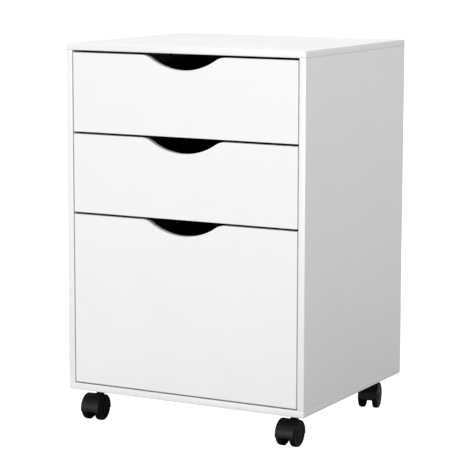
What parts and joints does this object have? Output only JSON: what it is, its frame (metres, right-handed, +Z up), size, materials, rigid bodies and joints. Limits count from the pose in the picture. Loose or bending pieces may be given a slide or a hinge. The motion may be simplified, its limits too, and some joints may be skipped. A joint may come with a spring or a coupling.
{
  "type": "rolling pedestal cabinet",
  "caption": "White office pedestal with two shallow drawers over a deep file drawer, finger cut-outs instead of handles, on twin-wheel swivel casters.",
  "frame": {"origin": "centre of the footprint, on the floor", "axes": "+X to the right as seen from the front, -Y towards the front where the drawers open, +Z up"},
  "size_m": [0.46, 0.4, 0.6645],
  "materials": {
    "white_board": "white melamine-faced board, satin, with white edge banding",
    "white_sheet": "white lacquered hardboard sheet, satin",
    "box_board": "black foil-faced board, matte",
    "box_sheet": "black lacquered hardboard sheet, matte",
    "runner_enamel": "white epoxy-coated sheet steel, satin",
    "nylon_roller": "natural nylon, satin",
    "zinc_cam": "die-cast zinc, dull",
    "beech_dowel": "plain turned beech, matte",
    "screw_steel": "bright zinc-plated steel",
    "black_nylon_housing": "black moulded nylon, satin",
    "black_nylon_wheel": "black moulded nylon, satin"
  },
  "bodies": {
    "carcass": {"top_panel": "white_board", "left_side_panel": "white_board", "right_side_panel": "white_board", "bottom_panel": "white_board", "back_panel": "white_sheet", "carcass_cam_fittings": "zinc_cam", "carcass_dowels": "beech_dowel", "runner_screws": "screw_steel", "back_panel_screws": "screw_steel", "tee_nuts": "zinc_cam", "caster_stems": "screw_steel", "top_cabinet_rails": "runner_enamel", "middle_cabinet_rails": "runner_enamel", "bottom_cabinet_rails": "runner_enamel"},
    "top_drawer": {"top_drawer_front": "white_board", "top_drawer_left_side": "box_board", "top_drawer_right_side": "box_board", "top_drawer_back": "box_board", "top_drawer_bottom": "box_sheet", "top_drawer_rails": "runner_enamel", "top_drawer_cam_fittings": "zinc_cam", "top_drawer_screws": "screw_steel"},
    "top_front_roller_pair": {"top_front_rollers": "nylon_roller"},
    "top_rear_roller_pair": {"top_rear_rollers": "nylon_roller"},
    "middle_drawer": {"middle_drawer_front": "white_board", "middle_drawer_left_side": "box_board", "middle_drawer_right_side": "box_board", "middle_drawer_back": "box_board", "middle_drawer_bottom": "box_sheet", "middle_drawer_rails": "runner_enamel", "middle_drawer_cam_fittings": "zinc_cam", "middle_drawer_screws": "screw_steel"},
    "middle_front_roller_pair": {"middle_front_rollers": "nylon_roller"},
    "middle_rear_roller_pair": {"middle_rear_rollers": "nylon_roller"},
    "bottom_drawer": {"bottom_drawer_front": "white_board", "bottom_drawer_left_side": "box_board", "bottom_drawer_right_side": "box_board", "bottom_drawer_back": "box_board", "bottom_drawer_bottom": "box_sheet", "bottom_drawer_rails": "runner_enamel", "bottom_drawer_cam_fittings": "zinc_cam", "bottom_drawer_screws": "screw_steel"},
    "bottom_front_roller_pair": {"bottom_front_rollers": "nylon_roller"},
    "bottom_rear_roller_pair": {"bottom_rear_rollers": "nylon_roller"},
    "front_left_caster": {"front_left_caster_housing": "black_nylon_housing", "front_left_caster_axle": "screw_steel"},
    "front_left_left_wheel": {"front_left_caster_left_wheel": "black_nylon_wheel"},
    "front_left_right_wheel": {"front_left_caster_right_wheel": "black_nylon_wheel"},
    "front_right_caster": {"front_right_caster_housing": "black_nylon_housing", "front_right_caster_axle": "screw_steel"},
    "front_right_left_wheel": {"front_right_caster_left_wheel": "black_nylon_wheel"},
    "front_right_right_wheel": {"front_right_caster_right_wheel": "black_nylon_wheel"},
    "rear_left_caster": {"rear_left_caster_housing": "black_nylon_housing", "rear_left_caster_axle": "screw_steel"},
    "rear_left_left_wheel": {"rear_left_caster_left_wheel": "black_nylon_wheel"},
    "rear_left_right_wheel": {"rear_left_caster_right_wheel": "black_nylon_wheel"},
    "rear_right_caster": {"rear_right_caster_housing": "black_nylon_housing", "rear_right_caster_axle": "screw_steel"},
    "rear_right_left_wheel": {"rear_right_caster_left_wheel": "black_nylon_wheel"},
    "rear_right_right_wheel": {"rear_right_caster_right_wheel": "black_nylon_wheel"}
  },
  "joints": [
    {"name": "top_drawer_slide", "type": "slide", "parent": "carcass", "child": "top_drawer", "axis": [0, -1, 0], "range_m": [0, 0.26]},
    {"name": "top_front_roller_spin", "type": "hinge", "parent": "carcass", "child": "top_front_roller_pair", "pos_m": [0, -0.166, 0.5353], "axis": [1, 0, 0], "continuous": true},
    {"name": "top_rear_roller_spin", "type": "hinge", "parent": "top_drawer", "child": "top_rear_roller_pair", "pos_m": [0, 0.147, 0.5353], "axis": [1, 0, 0], "continuous": true},
    {"name": "middle_drawer_slide", "type": "slide", "parent": "carcass", "child": "middle_drawer", "axis": [0, -1, 0], "range_m": [0, 0.26]},
    {"name": "middle_front_roller_spin", "type": "hinge", "parent": "carcass", "child": "middle_front_roller_pair", "pos_m": [0, -0.166, 0.3953], "axis": [1, 0, 0], "continuous": true},
    {"name": "middle_rear_roller_spin", "type": "hinge", "parent": "middle_drawer", "child": "middle_rear_roller_pair", "pos_m": [0, 0.147, 0.3953], "axis": [1, 0, 0], "continuous": true},
    {"name": "bottom_drawer_slide", "type": "slide", "parent": "carcass", "child": "bottom_drawer", "axis": [0, -1, 0], "range_m": [0, 0.26]},
    {"name": "bottom_front_roller_spin", "type": "hinge", "parent": "carcass", "child": "bottom_front_roller_pair", "pos_m": [0, -0.166, 0.1098], "axis": [1, 0, 0], "continuous": true},
    {"name": "bottom_rear_roller_spin", "type": "hinge", "parent": "bottom_drawer", "child": "bottom_rear_roller_pair", "pos_m": [0, 0.147, 0.1098], "axis": [1, 0, 0], "continuous": true},
    {"name": "front_left_caster_swivel", "type": "hinge", "parent": "carcass", "child": "front_left_caster", "pos_m": [-0.1925, -0.1575, 0.045], "axis": [0, 0, 1], "continuous": true},
    {"name": "front_left_left_wheel_spin", "type": "hinge", "parent": "front_left_caster", "child": "front_left_left_wheel", "pos_m": [-0.19161, -0.17448, 0.022], "axis": [0.9986, 0.0523, 0], "continuous": true},
    {"name": "front_left_right_wheel_spin", "type": "hinge", "parent": "front_left_caster", "child": "front_left_right_wheel", "pos_m": [-0.19161, -0.17448, 0.022], "axis": [0.9986, 0.0523, 0], "continuous": true},
    {"name": "front_right_caster_swivel", "type": "hinge", "parent": "carcass", "child": "front_right_caster", "pos_m": [0.1925, -0.1575, 0.045], "axis": [0, 0, 1], "continuous": true},
    {"name": "front_right_left_wheel_spin", "type": "hinge", "parent": "front_right_caster", "child": "front_right_left_wheel", "pos_m": [0.1925, -0.1745, 0.022], "axis": [1, 0, 0], "continuous": true},
    {"name": "front_right_right_wheel_spin", "type": "hinge", "parent": "front_right_caster", "child": "front_right_right_wheel", "pos_m": [0.1925, -0.1745, 0.022], "axis": [1, 0, 0], "continuous": true},
    {"name": "rear_left_caster_swivel", "type": "hinge", "parent": "carcass", "child": "rear_left_caster", "pos_m": [-0.1925, 0.1575, 0.045], "axis": [0, 0, 1], "continuous": true},
    {"name": "rear_left_left_wheel_spin", "type": "hinge", "parent": "rear_left_caster", "child": "rear_left_left_wheel", "pos_m": [-0.19398, 0.14056, 0.022], "axis": [0.9962, -0.0872, 0], "continuous": true},
    {"name": "rear_left_right_wheel_spin", "type": "hinge", "parent": "rear_left_caster", "child": "rear_left_right_wheel", "pos_m": [-0.19398, 0.14056, 0.022], "axis": [0.9962, -0.0872, 0], "continuous": true},
    {"name": "rear_right_caster_swivel", "type": "hinge", "parent": "carcass", "child": "rear_right_caster", "pos_m": [0.1925, 0.1575, 0.045], "axis": [0, 0, 1], "continuous": true},
    {"name": "rear_right_left_wheel_spin", "type": "hinge", "parent": "rear_right_caster", "child": "rear_right_left_wheel", "pos_m": [0.19603, 0.14087, 0.022], "axis": [0.9781, 0.2079, 0], "continuous": true},
    {"name": "rear_right_right_wheel_spin", "type": "hinge", "parent": "rear_right_caster", "child": "rear_right_right_wheel", "pos_m": [0.19603, 0.14087, 0.022], "axis": [0.9781, 0.2079, 0], "continuous": true}
  ],
  "couplings": [
    {"joint": "top_front_roller_spin", "follows": "top_drawer_slide", "rad_per_m": 114.94},
    {"joint": "top_rear_roller_spin", "follows": "top_drawer_slide", "rad_per_m": 114.94},
    {"joint": "middle_front_roller_spin", "follows": "middle_drawer_slide", "rad_per_m": 114.94},
    {"joint": "middle_rear_roller_spin", "follows": "middle_drawer_slide", "rad_per_m": 114.94},
    {"joint": "bottom_front_roller_spin", "follows": "bottom_drawer_slide", "rad_per_m": 114.94},
    {"joint": "bottom_rear_roller_spin", "follows": "bottom_drawer_slide", "rad_per_m": 114.94}
  ]
}
